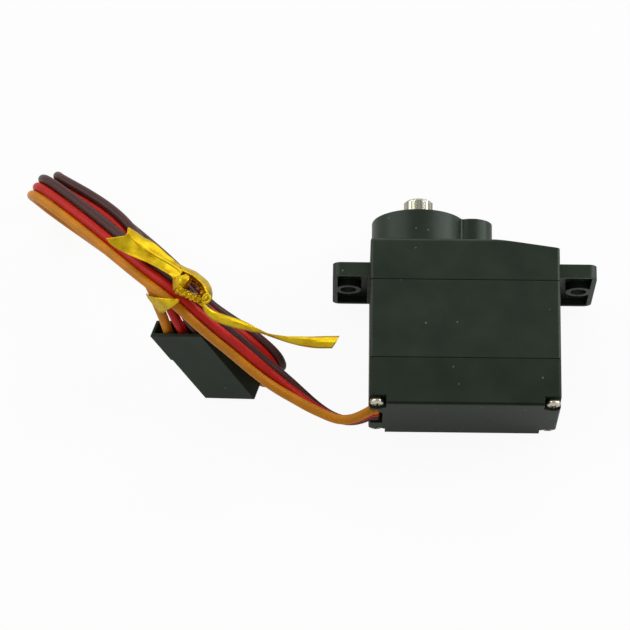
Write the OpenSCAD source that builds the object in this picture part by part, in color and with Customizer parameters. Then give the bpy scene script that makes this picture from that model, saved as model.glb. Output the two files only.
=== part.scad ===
// Micro servo motor with metal gears, a potentiometer, a control board and a three-wire lead.
// The servo is drawn standing on its bottom cover and then laid on its back face.
// Laid down: X runs ear to ear, Y along the output shaft, Z up out of the back face at zero.

/* [Case] */
// Width of the case, across the gear axes
case_w = 23.2; // [22.8:0.1:23.8]
// Depth of the case, front face to back face
case_d = 12.4; // [12.2:0.1:12.9]
// Height of the bottom cover
cover_h = 5.85; // [5.6:0.05:6.2]
// Height of the middle case
middle_h = 10; // [9.9:0.05:10.3]
// Height of the top case, without the bosses
top_h = 5.45; // [5.35:0.05:5.8]
// Thickness of the case walls
wall = 0.8; // [0.7:0.05:0.85]
// Radius of the outer edges
edge_r = 0.4; // [0.2:0.05:0.6]
// Drop of the sloping part of the top, at the motor end
slope_drop = 1.15; // [0.6:0.05:1.3]
// Width and depth of the dark joint line between the case parts
seam = 0.12; // [0.08:0.01:0.16]

/* [Bosses and ears] */
// Radius of the output boss
boss_r = 5.8; // [5.75:0.05:6]
// Radius of the small boss over the idler pin
idler_boss_r = 2.6; // [2.55:0.05:2.8]
// Height of both bosses above the top
boss_h = 3.9; // [3.8:0.05:4.2]
// Reach of each mounting ear from the case
ear_reach = 4.6; // [4.4:0.05:4.9]
// Width of the ears
ear_w = 10.9; // [10.4:0.1:11.4]
// Thickness of the ears
ear_t = 1.7; // [1.5:0.05:1.9]
// Distance between the two mounting holes
hole_spacing = 28.5; // [28.2:0.1:28.8]
// Radius of the mounting holes
hole_r = 1; // [0.9:0.05:1.1]

/* [Gear train] */
// Distance from the case's end to the output axis
axis_in = 6; // [5.95:0.05:6.1]
// Distance between the output axis and the idler axis
centres = 6.6; // [6.6:0.1:6.6]
// Teeth of the large wheels on the idler and output axes
wheel_n = 32; // [32:1:32]
// Teeth of the pinions that drive them
pinion_n = 12; // [12:1:12]
// Teeth of the second wheel
second_n = 34; // [34:1:34]
// Teeth of the first gear's pinion
first_n = 14; // [14:1:14]
// Teeth of the motor pinion
motor_n = 8; // [8:1:8]
// Play between the teeth
backlash = 0.09; // [0.07:0.01:0.12]
// Radius of the idler pin
pin_r = 0.5; // [0.45:0.01:0.55]
// Running clearance of every gear on its pin or stem
run_fit = 0.03; // [0.02:0.005:0.05]

/* [Output shaft] */
// Teeth of the splined end
spline_n = 21; // [21:1:21]
// Radius over the spline's teeth
spline_r = 1.92; // [1.85:0.01:2]
// Length of the spline above the bosses
spline_h = 3; // [2.8:0.05:3.4]
// Radius of the hole for the horn screw
horn_hole_r = 0.7; // [0.6:0.05:0.85]
// Depth of the hole for the horn screw
horn_hole_h = 5; // [4:0.1:6]

/* [Motor and sensor] */
// Radius of the motor can
motor_r = 4; // [3.9:0.02:4.04]
// Radius of the potentiometer
pot_r = 4.3; // [4:0.05:4.4]
// Thickness of the circuit board
board_t = 0.7; // [0.6:0.05:0.8]

/* [Screws] */
// Radius of the case screw heads
head_r = 0.9; // [0.8:0.02:0.92]
// Radius of the case screw shanks
shank_r = 0.5; // [0.45:0.01:0.52]

/* [Lead] */
// Diameter of each of the three wires
wire_d = 1.2; // [1.1:0.05:1.25]
// Length of the plug
plug_l = 13.7; // [13.4:0.1:14]
// Width of the plug
plug_w = 7.4; // [7.3:0.1:7.6]
// Thickness of the plug
plug_t = 2.3; // [2.2:0.05:2.5]

/* [Hidden] */
$fn = 48;
eps = 0.01;

// levels from the bottom face up
seam_low = cover_h;
seam_high = cover_h + middle_h;
case_top = seam_high + top_h;
boss_top = case_top + boss_h;
overall = boss_top + spline_h;
deck_t = 1.2;
deck_top = seam_high - 0.45;
deck_low = deck_top - deck_t;
roof = case_top - 1;
low_roof = case_top - 2.3;
step_x = 6.6;
slope_x = 3.5;
half_w = case_w / 2;
half_d = case_d / 2;
in_w = half_w - wall;
in_d = half_d - wall;

// shaft axes, all on the case's mid plane
axis_x = -half_w + axis_in;
idler_x = axis_x + centres;
mod_first = 0.25;
motor_x = idler_x + (motor_n + second_n) * mod_first / 2;

// tooth sizes: the modules that make each pair meet at the shared centre distance
mod_second = 2 * centres / (first_n + second_n);
mod_large = 2 * centres / (pinion_n + wheel_n);

// heights of the gears
first_z = deck_top + 0.25;
wheel_t = 0.9;
first_pinion_h = 1.35;
second_z = first_z + wheel_t + 0.3;
second_pinion_h = 1.35;
third_z = second_z + wheel_t + 0.3;
third_pinion_h = boss_top - 2.9 - third_z - wheel_t;
output_z = case_top - 0.8;
output_t = 1.5;
stem_r = 1;
stem_low = deck_low - 2.3;
flat_at = 0.65;
chamfer = 0.35;
journal_r = 2.2;
bush_r = 3;
bush_h = 2.5;
bush_low = boss_top - bush_h;

// ear pockets
ear_pocket_h = 1;
ear_rim = 0.45;

// corner screws
screw_x = half_w - 0.95;
screw_y = half_d - 1.3;
column_r = 1.35;
pocket_w = 2.05;
pocket_d = 1.75;
pocket_h = 1.1;
head_h = 0.6;
head_fit = 0.08;
seat_z = pocket_h - 0.3;
seat_r = 0.78;
screw_top = case_top - 2.6;
clear_r = 0.6;

// motor
motor_low = 3.9;
cap_h = 1.3;
can_low = motor_low + cap_h;
can_t = 0.3;
shaft_r = 0.5;
core_low = can_low + 2.4;
core_h = deck_low - 1.9 - core_low;

// sensor
pot_h = 3.7;
pot_low = deck_low - 0.3 - pot_h;

// circuit board
board_z = 1.9;
board_top = board_z + board_t;
board_w = 19;
board_d = 8.8;
board_x = 0.1;

// chips, placed from the shafts so that they keep clear of each other and of the motor
chip_x = axis_x + 3.4;
chip_y = -2.2;
chip_w = 3.6;
chip_h = 0.9;
bridge_x = motor_x - 3.65;
bridge_w = 1.8;
bridge_d = 3;

// cable slot in the bottom cover, and the wires in it
slot_w = 3.9;
slot_h = 1.3;
slot_in = 1.65;
slot_flare = 1.55;
slot_lead = 0.7;
edge_line = 0.12;
wire_z = 0.65;
riser_x = -half_w + 0.9;
inner_r = wire_d / 2 - 0.1;

// lead: the loose stretch from the slot to the tied hank, as round numbers, laid down
lead_path = [[-11.6, -13.45, 6.2], [-12.8, -13.7, 6], [-14.3, -13.9, 5.7], [-16, -13.5, 5.6],
    [-17.7, -12.6, 5.6], [-19.4, -11.6, 5.9], [-21.1, -10.6, 6.6], [-22.8, -9.8, 7.6]];
lead_sides = 8;
lead_half_w = 0.62;
lead_half_h = 1.8;
hank_left = [-49, 13.5, 5.5];
hank_top = [-34.9, -0.9, 18.3];
hank_right = [-25.9, -4.9, 4.4];
fold_left_r = 5.4;
fold_right_r = 4.2;
hank_r = 2.6;
hank_w = 5.2;
tie_w = 3;
tie_t = 0.3;
tail_w = 2.2;
tail_start = [-35.6, -0.2, 21.1];
tail_left = [-42.4, 6, 16.9];
tail_mid = [-30.5, -5.4, 19.9];
tail_right = [-16.2, -7.2, 15.4];

// plug pose: it stands on one front corner with its wire end raised
plug_at = [-31.9, -10, 0.45];
plug_turn = [-12.3, -31.2, -11.6];
plug_pitch = 2.54;
plug_wall = 0.5;
contact_w = 0.64;

// ---- helpers -------------------------------------------------------------------------------

module laid_down() {
    translate([0, -overall / 2, half_d])
        rotate([-90, 0, 0])
            children();
}

module round_rect(w, h, r) {
    square([w - 2 * r, h], center = true);
    square([w, h - 2 * r], center = true);
    for (x = [-1, 1], y = [-1, 1])
        translate([x * (w / 2 - r), y * (h / 2 - r)])
            circle(r);
}

// plain box from a low corner to a high corner
module span(a, b) {
    translate(a)
        cube([b[0] - a[0], b[1] - a[1], b[2] - a[2]]);
}

module rod(x, y, z0, z1, r) {
    translate([x, y, z0])
        cylinder(r = r, h = z1 - z0);
}

module corners() {
    for (x = [-1, 1], y = [-1, 1])
        translate([x * screw_x, y * screw_y, 0])
            children();
}

function inv(a) = tan(a) * 180 / PI - a;

// half the angle that a tooth spans at radius r
function tooth_half(n, m, r) =
    let (pitch = n * m / 2, base = pitch * cos(20), s = max(r, base * 1.001))
    (PI * m / 2 - backlash) / pitch * 90 / PI + inv(20) - inv(acos(base / s));

module toothed(n, m, h, at) {
    pitch = n * m / 2;
    radii = [pitch - 1.15 * m, pitch, pitch + 0.9 * m];
    profile = [[radii[0], -tooth_half(n, m, radii[0])], [radii[1], -tooth_half(n, m, radii[1])],
        [radii[2], -tooth_half(n, m, radii[2])], [radii[2], tooth_half(n, m, radii[2])],
        [radii[1], tooth_half(n, m, radii[1])], [radii[0], tooth_half(n, m, radii[0])]];
    linear_extrude(h)
        polygon([for (i = [0 : n - 1], p = profile)
            let (a = at + 360 * i / n + p[1])
            [p[0] * cos(a), p[0] * sin(a)]]);
}

// whole outer form of the case, with rounded edges, before it is cut at the seams
module case_form() {
    intersection() {
        linear_extrude(case_top)
            round_rect(case_w, case_d, edge_r);
        translate([0, half_d, case_top / 2])
            rotate([90, 0, 0])
                linear_extrude(case_d)
                    round_rect(case_w, case_top, edge_r);
        translate([-half_w, 0, case_top / 2])
            rotate([90, 0, 90])
                linear_extrude(case_w)
                    round_rect(case_d, case_top, edge_r);
        slope_keep();
    }
}

// everything under the flat top and its sloping end
module slope_keep() {
    translate([0, half_d, 0])
        rotate([90, 0, 0])
            linear_extrude(case_d)
                polygon([[-half_w, 0], [half_w, 0], [half_w, case_top - slope_drop],
                    [slope_x, case_top], [-half_w, case_top]]);
}

module slab(z0, z1) {
    intersection() {
        case_form();
        span([-half_w - 1, -half_d - 1, z0], [half_w + 1, half_d + 1, z1]);
    }
}

// shallow rebate around the outside, read as the joint line
module seam_cut(z) {
    translate([0, 0, z])
        difference() {
            translate([0, 0, 0])
                linear_extrude(seam)
                    square([case_w + 1, case_d + 1], center = true);
            translate([0, 0, -eps])
                linear_extrude(seam + 2 * eps)
                    round_rect(case_w - 2 * seam, case_d - 2 * seam, edge_r);
        }
}

module cavity(z0, z1) {
    difference() {
        span([-in_w, -in_d, z0], [in_w, in_d, z1]);
        corners()
            translate([0, 0, z0 - eps])
                cylinder(r = column_r, h = z1 - z0 + 2 * eps);
    }
}

// locating rim, joined to the wall below the seam and clear of the next part's wall above it
module rim(z) {
    difference() {
        union() {
            span([-in_w - eps, -in_d - eps, z - 0.6], [in_w + eps, in_d + eps, z - 0.05]);
            span([-in_w + 0.05, -in_d + 0.05, z - 0.6], [in_w - 0.05, in_d - 0.05, z + 0.5]);
        }
        span([-in_w + 0.4, -in_d + 0.4, z - 1], [in_w - 0.4, in_d - 0.4, z + 1]);
        corners()
            translate([0, 0, z - 0.05])
                cylinder(r = column_r + 0.1, h = 1);
    }
}

// ---- case ----------------------------------------------------------------------------------

module ear(side) {
    mid = side * hole_spacing / 2;
    low = case_top - 3 - ear_t;
    difference() {
        translate([0, 0, low])
            linear_extrude(ear_t)
                intersection() {
                    round_rect(case_w + 2 * ear_reach, ear_w, 1);
                    translate([side * (half_w + ear_reach / 2), 0])
                        square([ear_reach + 1.2, ear_w], center = true);
                }
        rod(mid, 0, low - 1, low + ear_t + 1, hole_r);
        // moulded-out pocket under the ear, with a ring left standing round the hole
        difference() {
            translate([side * (half_w + ear_reach / 2 - 0.15), 0, low - eps])
                linear_extrude(ear_pocket_h)
                    square([ear_reach - 0.9, ear_w - 2 * ear_rim], center = true);
            rod(mid, 0, low - 1, low + 2, hole_r + 0.6);
        }
    }
}

module top_case() {
    laid_down()
        color([0.19, 0.21, 0.18])
            difference() {
                union() {
                    slab(seam_high, case_top);
                    rod(axis_x, 0, case_top - 1, boss_top, boss_r);
                    rod(idler_x, 0, case_top - 1, boss_top, idler_boss_r);
                    ear(-1);
                    ear(1);
                }
                seam_cut(seam_high);
                difference() {
                    cavity(seam_high - eps, low_roof);
                    span([-half_w, -half_d, low_roof], [half_w, half_d, case_top]);
                }
                span([-in_w + 0.6, -in_d + 0.6, low_roof - eps], [-in_w + 2.6, in_d - 0.6, roof]);
                difference() {
                    span([-in_w, -in_d, low_roof - eps], [step_x, in_d, roof]);
                    corners()
                        cylinder(r = column_r, h = case_top);
                }
                rod(axis_x, 0, roof - eps, boss_top - 0.8, boss_r - 0.5);
                rod(idler_x, 0, roof - eps, boss_top - 0.8, idler_boss_r - 0.4);
                rod(axis_x, 0, boss_top - 2, boss_top + 1, bush_r);
                rod(idler_x, 0, boss_top - 2, boss_top - 0.35, pin_r);
                corners()
                    cylinder(r = shank_r, h = screw_top + 0.3);
            }
}

module middle_case() {
    laid_down()
        color([0.19, 0.21, 0.18])
            difference() {
                union() {
                    difference() {
                        slab(seam_low, seam_high);
                        cavity(seam_low - eps, deck_low);
                        cavity(deck_top, seam_high + eps);
                        seam_cut(seam_low);
                    }
                    rim(seam_high);
                    rod(axis_x, 0, deck_low, second_z - 0.05, 1.7);
                    rod(idler_x, 0, deck_low, first_z - 0.05, 1.2);
                }
                rod(axis_x, 0, deck_low - 1, second_z + 1, stem_r + 0.12);
                rod(idler_x, 0, deck_low + 0.3, first_z + 1, pin_r);
                rod(motor_x, 0, deck_low - 1, deck_top + 1, 1.7);
                corners()
                    translate([0, 0, seam_low - 1])
                        cylinder(r = clear_r, h = middle_h + 2);
            }
}

module bottom_cover() {
    laid_down()
        color([0.19, 0.21, 0.18])
            difference() {
                union() {
                    difference() {
                        slab(0, seam_low);
                        cavity(1, seam_low + eps);
                    }
                    rim(seam_low);
                    // posts that the board rests on
                    for (x = [-1, 1], y = [-1, 1])
                        rod(board_x + x * (board_w / 2 - 1.6), y * (board_d / 2 - 0.8), 0.9, board_z, 0.6);
                }
                // screw pockets, open to the corner and rounded behind the head
                difference() {
                    union() {
                        for (x = [-1, 1], y = [-1, 1])
                            translate([x * (half_w - pocket_w / 2 + 0.5), y * (half_d - pocket_d / 2 + 0.5), 0])
                                cube([pocket_w + 1, pocket_d + 1, 2 * pocket_h], center = true);
                        corners()
                            cylinder(r = head_r + head_fit, h = pocket_h);
                    }
                    // raised ring in each pocket that the head comes down on
                    corners()
                        translate([0, 0, seat_z])
                            cylinder(r = seat_r, h = 1);
                }
                corners()
                    cylinder(r = clear_r, h = seam_low + 1);
                // cable slot, open at the bottom face and the end face, flared towards the front
                translate([0, 0, -1])
                    linear_extrude(slot_h + 1)
                        polygon([[-half_w - 1, -slot_w / 2 - slot_flare],
                            [-half_w + slot_in - slot_lead, -slot_w / 2 - slot_flare],
                            [-half_w + slot_in, -slot_w / 2], [-half_w + slot_in, slot_w / 2],
                            [-half_w - 1, slot_w / 2]]);
                // shallow line along the front and back edges, between the screw pockets
                for (y = [-1, 1])
                    translate([0, y * half_d, edge_line * 1.5])
                        cube([case_w - 2 * pocket_w + 0.2, 3 * edge_line, edge_line], center = true);
                span([-half_w + 0.3, -slot_w / 2, 0.5], [-half_w + slot_in, slot_w / 2, board_top + 1.4]);
            }
}

module case_screws() {
    laid_down()
        color([0.75, 0.73, 0.68])
            corners()
                difference() {
                    union() {
                        rod(0, 0, seat_z - head_h, seat_z, head_r);
                        rod(0, 0, seat_z - eps, screw_top, shank_r);
                    }
                    translate([0, 0, seat_z - head_h])
                        for (a = [45, 135])
                            rotate([0, 0, a])
                                cube([1.15, 0.26, 0.6], center = true);
                }
}

// ---- output and gears ----------------------------------------------------------------------

module output_bush() {
    laid_down()
        color([0.72, 0.58, 0.3])
            difference() {
                rod(axis_x, 0, bush_low, boss_top, bush_r);
                rod(axis_x, 0, bush_low - 1, boss_top + 1, journal_r + run_fit);
            }
}

module output_gear() {
    root = spline_r - 0.22;
    laid_down()
        color([0.75, 0.75, 0.74])
            translate([axis_x, 0, 0])
                difference() {
                    union() {
                        translate([0, 0, output_z])
                            toothed(wheel_n, mod_large, output_t, 180 / wheel_n);
                        rod(0, 0, stem_low, output_z + eps, stem_r);
                        rod(0, 0, third_z + wheel_t + 0.3, output_z + eps, 1.6);
                        rod(0, 0, output_z, bush_low - 0.05, bush_r - 0.3);
                        rod(0, 0, output_z, boss_top + 0.1, journal_r);
                        // splined end, chamfered so that a horn slips on
                        intersection() {
                            translate([0, 0, boss_top])
                                linear_extrude(spline_h)
                                    polygon([for (i = [0 : spline_n - 1], p = [[root, 0.05], [root, 0.22],
                                        [spline_r, 0.5], [spline_r, 0.77]])
                                        [p[0] * cos(360 * (i + p[1]) / spline_n),
                                        p[0] * sin(360 * (i + p[1]) / spline_n)]]);
                            translate([0, 0, boss_top - 1])
                                cylinder(r1 = spline_r - chamfer + spline_h + 1, r2 = spline_r - chamfer,
                                    h = spline_h + 1);
                        }
                    }
                    rod(0, 0, overall - horn_hole_h, overall + 1, horn_hole_r);
                    // flat that keys the stem into the sensor
                    span([flat_at, -2, stem_low - 1], [2, 2, deck_low]);
                }
}

module gear_third() {
    laid_down()
        color([0.75, 0.75, 0.74])
            translate([idler_x, 0, third_z])
                difference() {
                    union() {
                        toothed(wheel_n, mod_large, wheel_t, 180 + 180 / wheel_n);
                        toothed(pinion_n, mod_large, wheel_t + third_pinion_h, 180);
                    }
                    rod(0, 0, -1, 10, pin_r + run_fit);
                }
}

module gear_second() {
    laid_down()
        color([0.78, 0.66, 0.35])
            translate([axis_x, 0, second_z])
                difference() {
                    union() {
                        toothed(second_n, mod_second, wheel_t, 180 / second_n);
                        toothed(pinion_n, mod_large, wheel_t + second_pinion_h, 0);
                    }
                    rod(0, 0, -1, 10, stem_r + run_fit);
                }
}

module gear_first() {
    laid_down()
        color([0.78, 0.66, 0.35])
            translate([idler_x, 0, first_z])
                difference() {
                    union() {
                        toothed(second_n, mod_first, wheel_t, 180 / second_n);
                        toothed(first_n, mod_second, wheel_t + first_pinion_h, 180);
                    }
                    rod(0, 0, -1, 10, pin_r + run_fit);
                }
}

module motor_pinion() {
    laid_down()
        color([0.78, 0.66, 0.35])
            translate([motor_x, 0, first_z - 0.1])
                difference() {
                    toothed(motor_n, mod_first, 1.6, 180);
                    rod(0, 0, -1, 10, shaft_r);
                }
}

module idler_pin() {
    laid_down()
        color([0.7, 0.7, 0.7])
            rod(idler_x, 0, deck_low + 0.3, boss_top - 0.35, pin_r);
}

// ---- motor ---------------------------------------------------------------------------------

module motor_can() {
    laid_down()
        color([0.7, 0.7, 0.68])
            difference() {
                union() {
                    rod(motor_x, 0, can_low, deck_low, motor_r);
                    rod(motor_x, 0, deck_low - eps, deck_low + 0.7, 1.6);
                }
                rod(motor_x, 0, can_low - 1, deck_low - can_t, motor_r - can_t);
                rod(motor_x, 0, deck_low - 1, deck_low + 1, 1.1);
            }
}

module motor_bush() {
    laid_down()
        color([0.72, 0.58, 0.3])
            difference() {
                rod(motor_x, 0, deck_low - 0.8, deck_low + 0.7, 1.1);
                rod(motor_x, 0, deck_low - 1, deck_low + 1, shaft_r + run_fit);
            }
}

module motor_magnets() {
    laid_down()
        color([0.2, 0.2, 0.22])
            translate([motor_x, 0, core_low - 0.6])
                for (a = [0, 180])
                    rotate([0, 0, a])
                        difference() {
                            cylinder(r = motor_r - can_t, h = core_h + 1.2);
                            translate([0, 0, -1])
                                cylinder(r = motor_r - can_t - 0.8, h = core_h + 4);
                            span([-5, -5, -1], [1.4, 5, core_h + 4]);
                        }
}

module motor_end_cap() {
    laid_down()
        color([0.85, 0.85, 0.82])
            difference() {
                union() {
                    rod(motor_x, 0, motor_low, can_low, motor_r);
                    rod(motor_x, 0, can_low - eps, can_low + 0.6, motor_r - can_t);
                }
                rod(motor_x, 0, motor_low + 0.7, can_low + 1, motor_r - can_t - 0.7);
                rod(motor_x, 0, motor_low + 0.2, can_low + 1, shaft_r + run_fit);
            }
}

module motor_shaft() {
    laid_down()
        color([0.7, 0.7, 0.7])
            rod(motor_x, 0, motor_low + 0.25, first_z + 1.7, shaft_r);
}

module armature_core() {
    laid_down()
        color([0.5, 0.5, 0.52])
            translate([motor_x, 0, core_low])
                difference() {
                    cylinder(r = motor_r - can_t - 0.95, h = core_h);
                    translate([0, 0, -1])
                        cylinder(r = shaft_r, h = core_h + 2);
                    for (a = [0, 120, 240])
                        rotate([0, 0, a])
                            translate([1.75, 0, -1])
                                linear_extrude(core_h + 2)
                                    square([1.5, 1], center = true);
                }
}

module armature_windings() {
    laid_down()
        color([0.75, 0.4, 0.2])
            translate([motor_x, 0, core_low - 0.4])
                for (a = [0, 120, 240])
                    rotate([0, 0, a])
                        translate([1.72, 0, 0])
                            linear_extrude(core_h + 0.8)
                                square([1.3, 0.9], center = true);
}

module commutator() {
    laid_down()
        color([0.75, 0.5, 0.3])
            difference() {
                rod(motor_x, 0, can_low - 0.2, core_low - 0.5, 0.95);
                rod(motor_x, 0, can_low - 1, core_low + 1, shaft_r);
            }
}

module motor_brushes() {
    laid_down()
        color([0.75, 0.55, 0.3])
            for (s = [-1, 1])
                span([motor_x - 0.5, s * 1.15 - 0.15, motor_low + 0.7],
                    [motor_x + 0.5, s * 1.15 + 0.15, can_low + 0.9]);
}

module motor_tabs() {
    laid_down()
        color([0.75, 0.73, 0.68])
            for (s = [-1, 1])
                span([motor_x - 0.6, s * 2.4 - 0.15, board_top], [motor_x + 0.6, s * 2.4 + 0.15, motor_low]);
}

// ---- sensor and electronics ----------------------------------------------------------------

module pot_case() {
    laid_down()
        color([0.2, 0.25, 0.35])
            translate([axis_x, 0, pot_low])
                difference() {
                    cylinder(r = pot_r, h = pot_h);
                    translate([0, 0, 0.7])
                        cylinder(r = pot_r - 0.5, h = pot_h - 1.3);
                    translate([0, 0, 1])
                        cylinder(r = 2, h = pot_h);
                }
}

module pot_track() {
    laid_down()
        color([0.1, 0.1, 0.1])
            translate([axis_x, 0, pot_low + 0.7])
                difference() {
                    cylinder(r = pot_r - 0.9, h = 0.3);
                    translate([0, 0, -1])
                        cylinder(r = 2.2, h = 2);
                }
}

module pot_wiper() {
    laid_down()
        color([0.85, 0.85, 0.8])
            translate([axis_x, 0, 0])
                difference() {
                    union() {
                        rod(0, 0, pot_low + 1.05, pot_low + 1.5, pot_r - 1);
                        rod(0, 0, pot_low + 1.05, pot_low + pot_h - 0.05, 1.7);
                    }
                    difference() {
                        rod(0, 0, stem_low - 0.1, pot_low + pot_h + 1, stem_r + 0.02);
                        span([flat_at + 0.02, -2, 0], [2, 2, deck_low]);
                    }
                }
}

module pot_pins() {
    laid_down()
        color([0.75, 0.73, 0.68])
            for (y = [-1, 0, 1])
                rod(axis_x - 1.5, y * 1.9, board_top, pot_low, 0.3);
}

module circuit_board() {
    laid_down()
        color([0.1, 0.35, 0.2])
            difference() {
                span([board_x - board_w / 2, -board_d / 2, board_z], [board_x + board_w / 2, board_d / 2, board_top]);
                // room for the wires that rise past the end of the board, and for the screw columns
                for (y = [-1, 0, 1])
                    rod(riser_x, y * wire_d, board_z - 1, board_top + 1, inner_r + 0.15);
                corners()
                    cylinder(r = column_r + 0.1, h = seam_low);
            }
}

module control_chip() {
    laid_down()
        color([0.1, 0.1, 0.1])
            span([chip_x, chip_y, board_top], [chip_x + chip_w, chip_y + chip_w, board_top + chip_h]);
}

module bridge_chip() {
    laid_down()
        color([0.1, 0.1, 0.1])
            span([bridge_x, -bridge_d / 2, board_top], [bridge_x + bridge_w, bridge_d / 2, board_top + chip_h]);
}

module board_capacitors() {
    laid_down()
        color([0.7, 0.6, 0.45])
            for (p = [[-3.6, -3], [-3.6, 3], [0, 3], [0, -3.4]])
                span([p[0] - 0.8, p[1] - 0.4, board_top], [p[0] + 0.8, p[1] + 0.4, board_top + 0.7]);
}

// ---- lead ----------------------------------------------------------------------------------

module inner_leads() {
    laid_down()
        color([0.85, 0.5, 0.1])
            for (i = [-1, 0, 1])
                translate([0, i * wire_d, 0]) {
                    translate([-half_w, 0, wire_z])
                        rotate([0, 90, 0])
                            cylinder(r = inner_r, h = riser_x + half_w);
                    rod(riser_x, 0, wire_z, board_top + inner_r, inner_r);
                    translate([riser_x, 0, board_top + inner_r])
                        rotate([0, 90, 0])
                            cylinder(r = inner_r, h = 2.2);
                    translate([riser_x, 0, wire_z])
                        sphere(inner_r);
                    translate([riser_x, 0, board_top + inner_r])
                        sphere(inner_r);
                }
}

function sub(a, b) = a - b;
function unit(v) = v / norm(v);
function along(p, i) = unit(sub(p[min(i + 1, len(p) - 1)], p[max(i - 1, 0)]));
function sideways(t) = unit(cross(t, [0, 0, 1]));
function lead_ring(p, i) =
    let (t = i == 0 ? [-1, 0, 0] : along(p, i), s = sideways(t), u = cross(s, t))
    [for (k = [0 : lead_sides - 1])
        let (a = 360 * (k + 0.5) / lead_sides)
        p[i] + s * lead_half_w * cos(a) + u * lead_half_h * sin(a)];

module lead_ribbon() {
    n = len(lead_path);
    color([0.85, 0.5, 0.1])
        polyhedron(
            points = [for (i = [0 : n - 1]) each lead_ring(lead_path, i)],
            faces = concat(
                [[for (k = [0 : lead_sides - 1]) k]],
                [for (i = [0 : n - 2], k = [0 : lead_sides - 1])
                    let (m = (k + 1) % lead_sides)
                    [i * lead_sides + k, (i + 1) * lead_sides + k, (i + 1) * lead_sides + m, i * lead_sides + m]],
                [[for (k = [0 : lead_sides - 1]) n * lead_sides - 1 - k]]));
}

// turns +X onto the direction from a to b
module aim(a, b) {
    d = sub(b, a);
    translate(a)
        rotate([0, -asin(d[2] / norm(d)), atan2(d[1], d[0])])
            children();
}

// one leg of the hank: a slab with round ends, upright along the wires, narrower where it is tied
module leg(a, b, ra, rb, w) {
    span_ab = norm(sub(b, a));
    lean = asin((ra - rb) / span_ab);
    aim(a, b)
        rotate([90, 0, 0])
            translate([0, 0, -w / 2])
                linear_extrude(w) {
                    circle(ra);
                    polygon([[ra * sin(lean), ra * cos(lean)], [span_ab + rb * sin(lean), rb * cos(lean)],
                        [span_ab + rb * sin(lean), -rb * cos(lean)], [ra * sin(lean), -ra * cos(lean)]]);
                    translate([span_ab, 0])
                        circle(rb);
                }
}

module lead_hank() {
    color([0.8, 0.2, 0.1]) {
        leg(hank_left, hank_top, fold_left_r, hank_r, hank_w);
        leg(hank_right, hank_top, fold_right_r, hank_r - 0.1, hank_w - 0.4);
    }
}

module strip(a, b) {
    aim(a, b)
        translate([0, -tail_w / 2, 0])
            cube([norm(sub(b, a)), tail_w, tie_t]);
}

module twist_tie() {
    color([0.85, 0.75, 0.15]) {
        aim(hank_top, hank_left)
            translate([-tie_w / 2, 0, 0])
                rotate([90, 0, 90])
                    linear_extrude(tie_w)
                        difference() {
                            square([hank_w + 2 * tie_t, 2 * hank_r + 4 * tie_t], center = true);
                            square([hank_w, 2 * hank_r + 2 * tie_t], center = true);
                        }
        strip(tail_start, tail_left);
        strip(tail_start, tail_mid);
        strip(tail_mid, tail_right);
    }
}

module plug_place() {
    translate(plug_at)
        rotate(plug_turn)
            children();
}

module plug_housing() {
    bay = plug_pitch - 0.5;
    color([0.19, 0.21, 0.18])
        plug_place()
            difference() {
                union() {
                    cube([plug_w, plug_t, plug_l]);
                    // wider wire end that stops the plug in a socket
                    translate([-0.25, 0, plug_l * 0.62])
                        cube([1, plug_t, plug_l * 0.38]);
                }
                // wire mouth, then one bay for each contact, then a pin hole in the nose
                translate([plug_wall, plug_wall, plug_l - 2])
                    cube([plug_w - 2 * plug_wall, plug_t - 2 * plug_wall, 3]);
                for (i = [-1, 0, 1])
                    translate([plug_w / 2 + i * plug_pitch, plug_t / 2, 0]) {
                        translate([-bay / 2, -plug_t / 2 + 0.45, 0.8])
                            cube([bay, plug_t - 0.9, plug_l]);
                        translate([-0.4, -0.4, -1])
                            cube([0.8, 0.8, 3]);
                    }
                // windows that hold each contact's tongue
                for (i = [-1, 0, 1])
                    translate([plug_w / 2 + i * plug_pitch - 0.6, plug_t - 0.7, 5])
                        cube([1.2, 1, 2.2]);
            }
}

module plug_contacts() {
    bay = plug_pitch - 0.6;
    color([0.8, 0.65, 0.3])
        plug_place()
            for (i = [-1, 0, 1])
                translate([plug_w / 2 + i * plug_pitch - bay / 2, 0.5, 0.8])
                    difference() {
                        cube([bay, plug_t - 1, 9]);
                        translate([0.2, 0.2, -1])
                            cube([bay - 0.4, plug_t - 1.4, 7]);
                    }
}

top_case();
middle_case();
bottom_cover();
case_screws();
output_bush();
output_gear();
gear_third();
gear_second();
gear_first();
motor_pinion();
idler_pin();
motor_can();
motor_bush();
motor_magnets();
motor_end_cap();
motor_shaft();
armature_core();
armature_windings();
commutator();
motor_brushes();
motor_tabs();
pot_case();
pot_track();
pot_wiper();
pot_pins();
circuit_board();
control_chip();
bridge_chip();
board_capacitors();
inner_leads();
lead_ribbon();
lead_hank();
twist_tie();
plug_housing();
plug_contacts();
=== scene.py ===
import math

import bmesh
import bpy
from mathutils import Euler, Matrix, Vector, noise


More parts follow.
